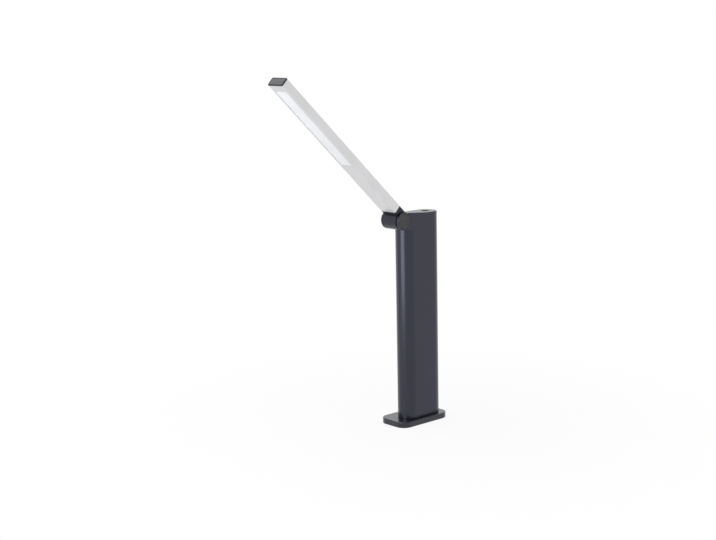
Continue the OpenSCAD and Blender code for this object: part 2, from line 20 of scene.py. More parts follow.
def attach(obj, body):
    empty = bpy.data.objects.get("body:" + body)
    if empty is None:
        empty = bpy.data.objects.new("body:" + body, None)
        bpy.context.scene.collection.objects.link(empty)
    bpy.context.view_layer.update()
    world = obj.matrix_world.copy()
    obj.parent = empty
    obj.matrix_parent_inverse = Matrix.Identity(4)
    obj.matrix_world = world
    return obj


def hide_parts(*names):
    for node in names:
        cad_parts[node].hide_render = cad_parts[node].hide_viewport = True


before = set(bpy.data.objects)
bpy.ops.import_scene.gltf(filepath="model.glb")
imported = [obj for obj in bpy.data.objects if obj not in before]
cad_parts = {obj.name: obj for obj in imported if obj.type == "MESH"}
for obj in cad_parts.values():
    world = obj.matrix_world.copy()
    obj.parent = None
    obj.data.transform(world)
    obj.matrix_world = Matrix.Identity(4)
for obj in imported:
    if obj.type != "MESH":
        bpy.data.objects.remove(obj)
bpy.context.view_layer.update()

LOG = logging.getLogger("desk_lamp")
MM = 0.001
# A face with a greater share of its normal along an axis looks along that axis.
FACING = 0.99
# An edge with a greater share of its direction along an axis runs along that axis.
ALONG = 0.9
# An edge with a smaller share of its direction along an axis runs across that axis.
ACROSS = 0.1
# Corners closer than this are one corner, in metres.
DOUBLE = 1e-6
# A place counts as on a plane within this distance, in millimetres.
TOUCH = 0.01
# A place counts as on a circle within this distance, in millimetres.
ON_CIRCLE = 0.05
Piece = bpy.types.Object
Material = bpy.types.Material
Tree = bpy.types.NodeTree
Node = bpy.types.Node
Socket = bpy.types.NodeSocket
Point = Tuple[float, float, float]
Colour = Tuple[float, float, float]
Steps = Sequence[Tuple[float, float]]
PlaceTest = Callable[[Vector, Vector], bool]


class Body(Enum):
    """The rigid bodies that pieces ride on."""

    COLUMN = "column"
    ARM = "arm"
    BUTTON = "button"


class Grain(Enum):
    """The kinds of surface texture that the lamp's finishes have."""

    MOULDED = "moulded"
    DRAWN = "drawn"
    SPUN = "spun"


@dataclass(frozen=True)
class Finish:
    """A procedural finish: a colour that wanders a little, an uneven gloss and a fine relief."""

    name: str
    colour: Colour
    shade: Colour
    roughness: float
    roughness_swing: float = 0.05
    metallic: float = 0.0
    specular: float = 0.5
    sheen_tint: Colour = (1.0, 1.0, 1.0)
    coat: float = 0.0
    coat_roughness: float = 0.1
    subsurface: float = 0.0
    grain: Grain = Grain.MOULDED
    grain_size: float = 0.5
    relief: float = 0.02
    bump: float = 0.35
    blotch_size: float = 18.0
    turn: float = 0.0
    centre: Point = (0.0, 0.0, 0.0)

    def material(self) -> Material:
        """Gives the Blender material of this finish, made once.

        Returns:
            The material.
        """
        known = bpy.data.materials.get(self.name)
        if known is not None:
            return known
        material = bpy.data.materials.new(self.name)
        material.use_nodes = True
        tree = material.node_tree
        shader = tree.nodes["Principled BSDF"]
        shader.inputs["Metallic"].default_value = self.metallic
        shader.inputs["Specular IOR Level"].default_value = self.specular
        shader.inputs["Specular Tint"].default_value = (*self.sheen_tint, 1.0)
        shader.inputs["Coat Weight"].default_value = self.coat
        shader.inputs["Coat Roughness"].default_value = self.coat_roughness
        shader.inputs["Subsurface Weight"].default_value = self.subsurface
        shader.inputs["Subsurface Radius"].default_value = (0.002, 0.002, 0.002)
        place = self._place(tree)
        blotch = self._noise(tree, place, 1.0 / (self.blotch_size * MM), 3.0)
        self._tint(tree, blotch, shader)
        fine = self._grain(tree, place)
        self._gloss(tree, fine, shader)
        self._relief(tree, fine, shader)
        return material

    def _place(self, tree: Tree) -> Socket:
        """Adds Object coordinates, centred and turned for this finish.

        Args:
            tree: The material's node tree.

        Returns:
            The socket that carries the coordinates.
        """
        source = tree.nodes.new("ShaderNodeTexCoord")
        shift = tree.nodes.new("ShaderNodeVectorMath")
        shift.operation = "SUBTRACT"
        shift.inputs[1].default_value = [c * MM for c in self.centre]
        turn = tree.nodes.new("ShaderNodeMapping")
        turn.inputs["Rotation"].default_value = (self.turn, 0.0, 0.0)
        tree.links.new(source.outputs["Object"], shift.inputs[0])
        tree.links.new(shift.outputs["Vector"], turn.inputs["Vector"])
        return turn.outputs["Vector"]

    def _noise(
        self,
        tree: Tree,
        place: Socket,
        scale: float,
        detail: float,
    ) -> Socket:
        """Adds a noise texture.

        Args:
            tree: The material's node tree.
            place: The socket with the coordinates.
            scale: How many features there are in a metre.
            detail: How many octaves the noise has.

        Returns:
            The socket that carries the noise, from 0 to 1.
        """
        noise = tree.nodes.new("ShaderNodeTexNoise")
        noise.inputs["Scale"].default_value = scale
        noise.inputs["Detail"].default_value = detail
        noise.inputs["Roughness"].default_value = 0.6
        tree.links.new(place, noise.inputs["Vector"])
        return noise.outputs["Fac"]

    def _grain(self, tree: Tree, place: Socket) -> Socket:
        """Adds the fine texture that this finish's grain names.

        Args:
            tree: The material's node tree.
            place: The socket with the coordinates.

        Returns:
            The socket that carries the texture, from 0 to 1.
        """
        scale = 1.0 / (self.grain_size * MM)
        if self.grain is Grain.SPUN:
            rings = tree.nodes.new("ShaderNodeTexWave")
            rings.wave_type = "RINGS"
            rings.rings_direction = "X"
            rings.inputs["Scale"].default_value = scale * 0.3
            rings.inputs["Distortion"].default_value = 0.6
            rings.inputs["Detail"].default_value = 2.0
            tree.links.new(place, rings.inputs["Vector"])
            return rings.outputs["Fac"]
        if self.grain is Grain.DRAWN:
            stretch = tree.nodes.new("ShaderNodeMapping")
            stretch.inputs["Scale"].default_value = (1.0, 0.02, 1.0)
            tree.links.new(place, stretch.inputs["Vector"])
            return self._noise(tree, stretch.outputs["Vector"], scale, 4.0)
        return self._noise(tree, place, scale, 4.0)

    def _tint(
        self,
        tree: Tree,
        pattern: Socket,
        shader: Node,
    ) -> None:
        """Lets the shader's colour wander between colour and shade, with a pattern."""
        ramp = tree.nodes.new("ShaderNodeValToRGB")
        ramp.color_ramp.elements[0].position = 0.35
        ramp.color_ramp.elements[0].color = (*self.shade, 1.0)
        ramp.color_ramp.elements[1].position = 0.65
        ramp.color_ramp.elements[1].color = (*self.colour, 1.0)
        tree.links.new(pattern, ramp.inputs["Fac"])
        tree.links.new(ramp.outputs["Color"], shader.inputs["Base Color"])

    def _gloss(
        self,
        tree: Tree,
        pattern: Socket,
        shader: Node,
    ) -> None:
        """Varies the shader's roughness about its mean, with a pattern."""
        span = tree.nodes.new("ShaderNodeMapRange")
        span.inputs["To Min"].default_value = self.roughness - self.roughness_swing
        span.inputs["To Max"].default_value = self.roughness + self.roughness_swing
        tree.links.new(pattern, span.inputs["Value"])
        tree.links.new(span.outputs["Result"], shader.inputs["Roughness"])

    def _relief(
        self,
        tree: Tree,
        pattern: Socket,
        shader: Node,
    ) -> None:
        """Raises and lowers the surface with the grain."""
        bump = tree.nodes.new("ShaderNodeBump")
        bump.inputs["Strength"].default_value = self.bump
        bump.inputs["Distance"].default_value = self.relief * MM
        tree.links.new(pattern, bump.inputs["Height"])
        tree.links.new(bump.outputs["Normal"], shader.inputs["Normal"])


PITCH = math.radians(43.5)
HINGE = (0.0, -25.0, 233.55)
HINGE_RADIUS = 10.1

SATIN_BLACK = Finish(
    "satin_black_plastic", (0.0040, 0.0042, 0.0082), (0.0031, 0.0033, 0.0066), 0.24,
    roughness_swing=0.025, specular=0.72, sheen_tint=(0.76, 0.79, 1.0),
    grain_size=0.35, relief=0.012,
)
BASE_PAINT = Finish(
    "semi_gloss_base_paint", (0.0024, 0.0026, 0.0036), (0.0018, 0.0019, 0.0028), 0.20,
    roughness_swing=0.03, specular=0.66, sheen_tint=(0.80, 0.82, 1.0),
    coat=0.2, coat_roughness=0.12, grain_size=1.1, relief=0.01,
)
COVER_BLACK = Finish(
    "satin_black_cover", (0.0100, 0.0110, 0.0135), (0.0080, 0.0088, 0.0110), 0.22,
    roughness_swing=0.03, specular=0.7, grain_size=0.35, relief=0.01,
)
SPUN_BLACK = Finish(
    "spun_black_cover", (0.070, 0.070, 0.075), (0.060, 0.060, 0.065), 0.22,
    metallic=1.0, grain=Grain.SPUN, grain_size=0.12, relief=0.02, centre=HINGE,
)
ARM_BLACK = Finish(
    "textured_black_plastic", (0.0085, 0.0092, 0.0125), (0.0065, 0.0070, 0.0100), 0.34,
    roughness_swing=0.03, specular=0.50, sheen_tint=(0.74, 0.76, 1.0),
    grain_size=0.4, relief=0.02,
)
CAP_FACE = Finish(
    "textured_cap_face", (0.075, 0.077, 0.080), (0.055, 0.057, 0.060), 0.55,
    grain_size=0.3, relief=0.05,
)
SOFT_TOUCH = Finish(
    "soft_touch_button", (0.010, 0.010, 0.011), (0.008, 0.008, 0.009), 0.62,
    specular=0.12, grain_size=0.3, relief=0.015,
)
SILVER = Finish(
    "anodised_aluminium", (0.69, 0.69, 0.70), (0.66, 0.66, 0.67), 0.44,
    roughness_swing=0.06, metallic=1.0, grain=Grain.DRAWN, grain_size=0.16, relief=0.008,
    turn=PITCH, centre=HINGE, blotch_size=40.0,
)
MILKY = Finish(
    "milky_diffuser", (0.74, 0.75, 0.77), (0.71, 0.72, 0.74), 0.42,
    roughness_swing=0.04, subsurface=0.25, grain_size=0.5, relief=0.006, blotch_size=30.0,
)
RUBBER = Finish(
    "matte_rubber", (0.030, 0.030, 0.030), (0.022, 0.022, 0.022), 0.8,
    specular=0.3, grain_size=0.3, relief=0.04,
)
STEEL = Finish(
    "plain_steel", (0.58, 0.59, 0.61), (0.50, 0.51, 0.53), 0.3,
    metallic=1.0, grain_size=0.15, relief=0.01,
)
BRONZE = Finish(
    "bronze_washer", (0.62, 0.40, 0.20), (0.52, 0.33, 0.16), 0.34,
    metallic=1.0, grain=Grain.SPUN, grain_size=0.1, relief=0.01, centre=HINGE,
)
INNER_PLASTIC = Finish(
    "inner_plastic", (0.055, 0.055, 0.060), (0.045, 0.045, 0.050), 0.5,
    grain_size=0.5, relief=0.02,
)
CELL_WRAP = Finish(
    "cell_wrap", (0.04, 0.14, 0.36), (0.03, 0.12, 0.32), 0.3,
    grain_size=1.5, relief=0.03,
)
BOARD_GREEN = Finish(
    "green_board", (0.03, 0.14, 0.07), (0.02, 0.11, 0.055), 0.35,
    grain_size=0.6, relief=0.03, blotch_size=3.0,
)
BOARD_WHITE = Finish(
    "white_board", (0.82, 0.82, 0.80), (0.78, 0.78, 0.76), 0.4,
    grain_size=0.6, relief=0.02,
)
LEAD_JACKET = Finish(
    "lead_jacket", (0.030, 0.030, 0.032), (0.024, 0.024, 0.026), 0.5,
    grain_size=0.4, relief=0.02,
)
LED_RESIN = Finish(
    "led_resin", (0.90, 0.68, 0.14), (0.85, 0.60, 0.10), 0.25,
    subsurface=0.2, grain_size=0.2, relief=0.01, blotch_size=1.0,
)

NODE_FINISHES = {
    "base_screws": STEEL, "button_boot": RUBBER, "tact_switch": INNER_PLASTIC,
    "control_board": BOARD_GREEN, "board_screws": STEEL, "chassis": INNER_PLASTIC,
    "battery_cell": CELL_WRAP, "battery_contacts": STEEL, "charge_board": BOARD_GREEN,
    "charging_socket": STEEL, "charge_light": MILKY, "battery_leads": LEAD_JACKET,
    "hinge_pin": STEEL, "hub_washer": BRONZE, "outer_washer": BRONZE, "spring_washers": STEEL,
    "hinge_nut": STEEL, "feed_lead": LEAD_JACKET, "arm_root": ARM_BLACK, "root_screws": STEEL,
    "arm_profile": SILVER, "led_strip": BOARD_WHITE, "leds": LED_RESIN, "reflector": BOARD_WHITE,
    "arm_lead": LEAD_JACKET,
}


def choose(obj: Piece) -> None:
    """Selects one object alone and makes it the active one."""
    bpy.ops.object.select_all(action="DESELECT")
    obj.select_set(True)
    bpy.context.view_layer.objects.active = obj


@contextmanager
def editing(obj: Piece) -> Iterator[None]:
    """Opens one piece in edit mode with nothing selected, and closes it again.

    Args:
        obj: The piece to edit.
    """
    choose(obj)
    bpy.ops.object.mode_set(mode="EDIT")
    bpy.ops.mesh.select_mode(type="FACE")
    bpy.ops.mesh.select_all(action="DESELECT")
    yield
    bpy.ops.object.mode_set(mode="OBJECT")


def pick_faces(obj: Piece, wanted: PlaceTest) -> int:
    """Selects the faces whose centre and normal pass a test, and nothing else.

    Args:
        obj: The piece in edit mode.
        wanted: The test, on the centre in millimetres and the normal.

    Returns:
        How many faces were selected.
    """
    bpy.ops.mesh.select_mode(type="FACE")
    bpy.ops.mesh.select_all(action="DESELECT")
    mesh = bmesh.from_edit_mesh(obj.data)
    count = 0
    for face in mesh.faces:
        if wanted(face.calc_center_median() / MM, face.normal):
            face.select_set(True)
            count += 1
    bmesh.update_edit_mesh(obj.data)
    return count


def pick_edges(obj: Piece, wanted: PlaceTest) -> int:
    """Selects the edges whose middle and direction pass a test, and nothing else.

    Args:
        obj: The piece in edit mode.
        wanted: The test, on the middle in millimetres and the unit direction.

    Returns:
        How many edges were selected.
    """
    bpy.ops.mesh.select_mode(type="EDGE")
    bpy.ops.mesh.select_all(action="DESELECT")
    mesh = bmesh.from_edit_mesh(obj.data)
    count = 0
    for edge in mesh.edges:
        first, second = edge.verts[0].co, edge.verts[1].co
        if wanted((first + second) / 2 / MM, (second - first).normalized()):
            edge.select_set(True)
            count += 1
    bmesh.update_edit_mesh(obj.data)
    return count


def add_block(name: str, low: Point, high: Point) -> Piece:
    """Adds a block between two corners, to be shaped further.

    Args:
        name: The piece's name.
        low: Its lowest corner in millimetres.
        high: Its highest corner in millimetres.

    Returns:
        The block.
    """
    bpy.ops.object.select_all(action="DESELECT")
    centre = [(a + b) / 2 * MM for a, b in zip(low, high)]
    bpy.ops.mesh.primitive_cube_add(size=1.0, location=centre)
    obj = bpy.context.object
    obj.name = name
    obj.scale = [(b - a) * MM for a, b in zip(low, high)]
    bpy.ops.object.transform_apply(location=True, rotation=True, scale=True)
    return obj


def add_disc(
    name: str, centre: Point, radius: float, height: float, along_x: bool = False
) -> Piece:
    """Adds a round blank, to be shaped further.

    Args:
        name: The piece's name.
        centre: The middle of its first face in millimetres.
        radius: Its radius in millimetres.
        height: Its height in millimetres, along +Z or +X.
        along_x: Whether its axis is X.

    Returns:
        The blank.
    """
    bpy.ops.object.select_all(action="DESELECT")
    turn = (0.0, math.pi / 2, 0.0) if along_x else (0.0, 0.0, 0.0)
    step = Vector((height / 2, 0, 0)) if along_x else Vector((0, 0, height / 2))
    bpy.ops.mesh.primitive_cylinder_add(
        vertices=96, radius=radius * MM, depth=height * MM,
        location=(Vector(centre) + step) * MM, rotation=turn,
    )
    obj = bpy.context.object
    obj.name = name
    bpy.ops.object.transform_apply(location=True, rotation=True, scale=True)
    return obj


def bevel(width: float, segments: int) -> None:
    """Bevels the selected edges by a width in millimetres."""
    bpy.ops.mesh.bevel(offset=width * MM, segments=segments, affect="EDGES", profile=0.5)


def inset(width: float, depth: float = 0.0) -> None:
    """Insets the selected faces by a width and sinks them by a negative depth, in millimetres."""
    bpy.ops.mesh.inset(thickness=width * MM, depth=depth * MM, use_even_offset=True)


def step_in(steps: Steps) -> None:
    """Insets the selected faces several times, by one width and depth after another."""
    for width, depth in steps:
        inset(width, depth)


def push(way: Point) -> None:
    """Extrudes the selected faces by a vector in millimetres."""
    bpy.ops.mesh.extrude_region_move(
        TRANSFORM_OT_translate={"value": tuple(step * MM for step in way)}
    )


def mend_normals(obj: Piece) -> None:
    """Merges a piece's doubled corners and turns its faces outwards."""
    with editing(obj):
        bpy.ops.mesh.select_all(action="SELECT")
        bpy.ops.mesh.remove_doubles(threshold=DOUBLE)
        bpy.ops.mesh.normals_make_consistent(inside=False)


def copy_node(node: str, name: str) -> Piece:
    """Copies a CAD node into a piece of its own, as one merged skin with plain faces.

    Args:
        node: The CAD node.
        name: The new piece's name.

    Returns:
        The piece.
    """
    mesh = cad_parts[node].data.copy()
    mesh.materials.clear()
    obj = bpy.data.objects.new(name, mesh)
    bpy.context.scene.collection.objects.link(obj)
    with editing(obj):
        bpy.ops.mesh.select_all(action="SELECT")
        bpy.ops.mesh.remove_doubles(threshold=DOUBLE)
        bpy.ops.mesh.dissolve_limited(angle_limit=math.radians(0.02))
    return obj


def stand_on_arm(obj: Piece) -> None:
    """Takes a piece drawn for a level arm to the hinge and the arm's angle.

    Args:
        obj: The piece, with the arm along -Y from the origin and its lit side at z = 0.
    """
    choose(obj)
    place = Matrix.Translation(Vector(HINGE) * MM) @ Matrix.Rotation(-PITCH, 4, "X")
    obj.matrix_world = place @ obj.matrix_world
    bpy.ops.object.transform_apply(location=True, rotation=True, scale=True)


def smooth(obj: Piece, degrees: float = 35.0) -> None:
    """Shades a piece smooth, apart from edges sharper than an angle."""
    choose(obj)
    bpy.ops.object.shade_smooth_by_angle(angle=math.radians(degrees))
    weight = obj.modifiers.new("level_flats", "WEIGHTED_NORMAL")
    weight.keep_sharp = True
    weight.weight = 50
    bpy.ops.object.modifier_apply(modifier=weight.name)


def fit(
    obj: Piece, node: str, body: Body, finish: Finish,
    degrees: float = 35.0,
) -> None:
    """Dresses a finished piece, lets it stand for its CAD node and ride on its body.

    Args:
        obj: The piece.
        node: The CAD node that it replaces.
        body: The body that it rides on.
        finish: Its finish.
        degrees: The angle above which an edge stays sharp.
    """
    smooth(obj, degrees)
    if not obj.data.materials:
        obj.data.materials.append(finish.material())
    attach(obj, body.value)
    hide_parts(node)
    LOG.info("%s stands for %s and rides on %s", obj.name, node, body.value)


@dataclass
class Base:
    """The weighted base plate and the rubber pad under it."""

    width: float = 41.0
    length: float = 72.6
    top: float = 6.8
    corner: float = 11.0
    edge: float = 0.7
    under_edge: float = 0.4
    lift: float = 0.4
    pad_inset: float = 2.4
    pad_depth: float = 1.0
    pad_draft: float = 0.01
    grooves: int = 2
    groove_steps: Steps = ((1.6, 0.0), (0.15, -0.35), (0.8, 0.0), (0.15, 0.35))
    gap: float = 0.1

    def build(self) -> None:
        """Builds the plate and the pad."""
        self._plate()
        self._pad()

    def _blank(self, name: str, shrink: float, low: float, high: float) -> Piece:
        """Adds a block with the base's round corners.

        Args:
            name: The piece's name.
            shrink: How far its sides stand inside the plate's.
            low: The height of its underside.
            high: The height of its top.

        Returns:
            The block.
        """
        half_w, half_l = self.width / 2 - shrink, self.length / 2 - shrink
        obj = add_block(name, (-half_w, -half_l, low), (half_w, half_l, high))
        with editing(obj):
            pick_edges(obj, lambda middle, way: abs(way.z) > ALONG)
            bevel(self.corner - shrink, 24)
        return obj

    def _plate(self) -> None:
        """Builds the plate with its rounded rim and the pad's recess."""
        obj = self._blank("base_casting", 0.0, self.lift, self.top)
        with editing(obj):
            pick_edges(obj, lambda middle, way: middle.z > self.top - TOUCH)
            bevel(self.edge, 5)
            pick_edges(obj, lambda middle, way: middle.z < self.lift + TOUCH)
            bevel(self.under_edge, 3)
            pick_faces(obj, lambda middle, normal: normal.z < -FACING)
            inset(self.pad_inset - self.under_edge)
            inset(self.pad_draft, -self.pad_depth)
        fit(obj, "base_plate", Body.COLUMN, BASE_PAINT)

    def _pad(self) -> None:
        """Builds the pad with the grooves round its sole."""
        shrink = self.pad_inset + self.gap
        obj = self._blank("grooved_foot_pad", shrink, 0.0, self.lift + self.pad_depth)
        with editing(obj):
            pick_faces(obj, lambda middle, normal: normal.z < -FACING)
            step_in(self.groove_steps * self.grooves)
        fit(obj, "foot_pad", Body.COLUMN, RUBBER)


@dataclass
class ColumnTop:
    """The column's inset cover and the power button in it."""

    centre_x: float = 2.3
    front_y: float = -13.5
    rear_y: float = 30.85
    half_width: float = 11.5
    low: float = 238.4
    high: float = 240.0
    button_y: float = 18.55
    button_radius: float = 4.4
    well_radius: float = 4.55
    flange: float = 0.8
    flange_low: float = 237.4
    flange_high: float = 238.3
    button_high: float = 239.8
    stem_radius: float = 1.5
    stem_low: float = 234.1
    end_slack: float = 0.001
    front_edge: float = 0.6
    well_edge: float = 0.3
    button_edge: float = 0.3
    dish_steps: Steps = ((0.4, 0.0), (0.5, -0.35), (1.1, -0.12), (1.0, -0.06))

    def build(self) -> None:
        """Builds the cover and the button."""
        self._cover()
        self._button()

    def _near_button(self, place: Vector, reach: float) -> bool:
        """Says whether a place is within reach of the button's axis."""
        return math.hypot(place.x - self.centre_x, place.y - self.button_y) < reach

    def _cover(self) -> None:
        """Builds the cover, round at the back, with a softened well for the button."""
        left, right = self.centre_x - self.half_width, self.centre_x + self.half_width
        obj = add_block(
            "top_plate", (left, self.front_y, self.low), (right, self.rear_y, self.high)
        )
        with editing(obj):
            pick_edges(obj, lambda middle, way: abs(way.z) > ALONG and middle.y > 0)
            bevel(self.half_width - self.end_slack, 40)
            pick_edges(obj, lambda middle, way: abs(way.z) > ALONG and middle.y < 0)
            bevel(self.front_edge, 3)
        self._bore(obj)
        with editing(obj):
            pick_edges(
                obj,
                lambda middle, way: middle.z > self.high - TOUCH
                and self._near_button(middle, self.well_radius + ON_CIRCLE),
            )
            bevel(self.well_edge, 3)
        fit(obj, "top_cover", Body.COLUMN, COVER_BLACK)

    def _bore(self, obj: Piece) -> None:
        """Cuts the button's well through the cover."""
        place = (self.centre_x, self.button_y, self.low - 1)
        cutter = add_disc("well_cutter", place, self.well_radius, 4.0)
        cut = obj.modifiers.new("well", "BOOLEAN")
        cut.operation = "DIFFERENCE"
        cut.object = cutter
        choose(obj)
        bpy.ops.object.modifier_apply(modifier=cut.name)
        bpy.data.objects.remove(cutter)

    def _button(self) -> None:
        """Builds the button: a stem, a flange under the cover, a rim and a dished face."""
        place = (self.centre_x, self.button_y, self.flange_low)
        radius = self.button_radius + self.flange
        obj = add_disc("dished_button", place, radius, self.flange_high - self.flange_low)
        with editing(obj):
            pick_faces(obj, lambda middle, normal: normal.z < -FACING)
            inset(radius - self.stem_radius)
            push((0.0, 0.0, self.stem_low - self.flange_low))
            pick_faces(obj, lambda middle, normal: normal.z > FACING)
            inset(self.flange)
            push((0.0, 0.0, self.button_high - self.flange_high))
            pick_edges(obj, lambda middle, way: middle.z > self.button_high - TOUCH)
            bevel(self.button_edge, 4)
            face_z = self.button_high - TOUCH
            pick_faces(obj, lambda middle, normal: normal.z > FACING and middle.z > face_z)
            step_in(self.dish_steps)
        fit(obj, "button_cap", Body.BUTTON, SOFT_TOUCH)


@dataclass
class Shells:
    """The column's two shells, with the fine radius that a mould leaves on their edges."""

    centre_x: float = 2.3
    centre_y: float = 4.35
    radius: float = 12.5
    half: float = 15.0
    top: float = 240.0
    ear_side: float = 14.8
    ear_in: float = 12.3
    ear_low: float = 223.45
    rim: float = 0.7
    ear_rim: float = 0.5
    foot: float = 7.6
    foot_edge: float = 0.5

    def build(self) -> None:
        """Builds both shells."""
        for node, name in (("left_shell", "left_moulding"), ("right_shell", "right_moulding")):
            obj = copy_node(node, name)
            with editing(obj):
                if pick_edges(obj, self._on_rim):
                    bevel(self.rim, 3)
                if node == "right_shell" and pick_edges(obj, self._on_ear):
                    bevel(self.ear_rim, 3)
                if pick_edges(obj, self._on_foot):
                    bevel(self.foot_edge, 3)
            fit(obj, node, Body.COLUMN, SATIN_BLACK)

    def _on_outline(self, middle: Vector, way: Vector) -> bool:
        """Says whether an edge goes round the column's outside."""
        beyond = max(abs(middle.y - self.centre_y) - self.half, 0.0)
        reach = math.hypot(middle.x - self.centre_x, beyond)
        return abs(way.z) < ACROSS and abs(reach - self.radius) < ON_CIRCLE

    def _on_rim(self, middle: Vector, way: Vector) -> bool:
        """Says whether an edge lies on the outside of the column's top rim."""
        return middle.z > self.top - TOUCH and self._on_outline(middle, way)

    def _on_foot(self, middle: Vector, way: Vector) -> bool:
        """Says whether an edge lies on the outside of the column's lower end."""
        return middle.z < self.foot and self._on_outline(middle, way)

    def _on_ear(self, middle: Vector, way: Vector) -> bool:
        """Says whether an edge goes round the ear's outer or inner face."""
        away = math.hypot(middle.y - HINGE[1], middle.z - HINGE[2])
        on_disc = abs(away - HINGE_RADIUS) < ON_CIRCLE
        on_web = abs(middle.z - self.ear_low) < 2 * TOUCH and middle.y > HINGE[1]
        outer = abs(middle.x - self.ear_side) < 2 * TOUCH and abs(way.x) < ACROSS
        inner = abs(middle.x - self.ear_in) < 2 * TOUCH and abs(way.x) < ACROSS
        return (outer and (on_disc or on_web)) or (inner and on_disc and middle.y < HINGE[1])


@dataclass
class Hinge:
    """The barrel that turns on the ear, its end cap, and the turned cover on the ear."""

    ear_side: float = 14.8
    cover_radius: float = 8.9
    cover_height: float = 0.8
    cover_edge: float = 0.25
    cover_steps: Steps = ((0.5, 0.0), (0.08, -0.12), (0.25, 0.0), (0.08, 0.10))
    ring_count: int = 13
    ring_steps: Steps = ((0.16, 0.0), (0.20, -0.073), (0.20, 0.073))
    ring_crease: float = 12.0
    barrel_start: float = -11.7
    barrel_end: float = 11.9
    barrel_edge: float = 0.5
    groove_width: float = 1.3
    groove_depth: float = 1.4
    nut_pocket_radius: float = 8.4
    nut_pocket_end: float = 0.75
    hub_pocket_radius: float = 6.45
    hub_pocket_start: float = 6.75
    bore_radius: float = 3.05
    crown: float = 1.6
    crown_edge: float = 1.2
    plug_radius: float = 8.3
    plug_length: float = 1.5
    cap_steps: Steps = ((1.0, 0.0), (0.3, -0.2), (3.0, -0.1))

    def build(self) -> None:
        """Builds the barrel and both covers."""
        self._barrel()
        self._ear_cover()
        self._barrel_cap()

    def _barrel(self) -> None:
        """Builds the barrel with soft ends, a pocket in each and a bore between them."""
        place = (self.barrel_start, HINGE[1], HINGE[2])
        length = self.barrel_end - self.groove_width - self.barrel_start
        obj = add_disc("turned_barrel", place, HINGE_RADIUS, length, True)
        with editing(obj):
            pick_edges(obj, lambda middle, way: abs(way.x) < 0.5)
            bevel(self.barrel_edge, 4)
            ring = HINGE_RADIUS - self.barrel_edge
            pick_faces(obj, lambda middle, normal: normal.x > FACING)
            inset(self.groove_depth - self.barrel_edge)
            push((self.groove_width, 0.0, 0.0))
            pick_faces(obj, lambda middle, normal: normal.x < -FACING)
            inset(ring - self.nut_pocket_radius)
            push((self.nut_pocket_end - self.barrel_start, 0.0, 0.0))
            inset(self.nut_pocket_radius - self.bore_radius)
            bpy.ops.mesh.delete(type="FACE")
            pick_faces(
                obj, lambda middle, normal: normal.x > FACING and middle.x > self.barrel_end - TOUCH
            )
            inset(HINGE_RADIUS - self.groove_depth - self.hub_pocket_radius)
            push((self.hub_pocket_start - self.barrel_end, 0.0, 0.0))
            inset(self.hub_pocket_radius - self.bore_radius)
            bpy.ops.mesh.delete(type="FACE")
            pick_edges(obj, self._on_bore)
            bpy.ops.mesh.bridge_edge_loops()
        mend_normals(obj)
        fit(obj, "hinge_barrel", Body.ARM, ARM_BLACK)

    def _on_bore(self, middle: Vector, way: Vector) -> bool:
        """Says whether an edge goes round one mouth of the barrel's bore."""
        away = math.hypot(middle.y - HINGE[1], middle.z - HINGE[2])
        return abs(away - self.bore_radius) < 2 * ON_CIRCLE and abs(way.x) < ACROSS

    def _ear_cover(self) -> None:
        """Builds the disc on the ear: a bevelled rim, a groove and the rings of a turned face."""
        place = (self.ear_side - self.cover_height, HINGE[1], HINGE[2])
        obj = add_disc("turned_ear_cover", place, self.cover_radius, self.cover_height, True)
        with editing(obj):
            pick_edges(obj, lambda middle, way: middle.x > self.ear_side - TOUCH)
            bevel(self.cover_edge, 3)
            pick_faces(obj, lambda middle, normal: normal.x > FACING)
            step_in(self.cover_steps)
            step_in(self.ring_steps * self.ring_count)
        fit(obj, "hinge_cover", Body.COLUMN, SPUN_BLACK, self.ring_crease)

    def _barrel_cap(self) -> None:
        """Builds the plug in the barrel's free end: a round-edged face with a shallow dish."""
        place = (self.barrel_start - self.crown, HINGE[1], HINGE[2])
        obj = add_disc("crowned_barrel_cap", place, HINGE_RADIUS, self.crown, True)
        with editing(obj):
            pick_faces(obj, lambda middle, normal: normal.x > FACING)
            inset(HINGE_RADIUS - self.plug_radius)
            push((self.plug_length, 0.0, 0.0))
            face_x = self.barrel_start - self.crown + TOUCH
            pick_edges(obj, lambda middle, way: middle.x < face_x)
            bevel(self.crown_edge, 8)
            pick_faces(obj, lambda middle, normal: normal.x < -FACING and middle.x < face_x)
            step_in(self.cap_steps)
        fit(obj, "barrel_cap", Body.ARM, ARM_BLACK)


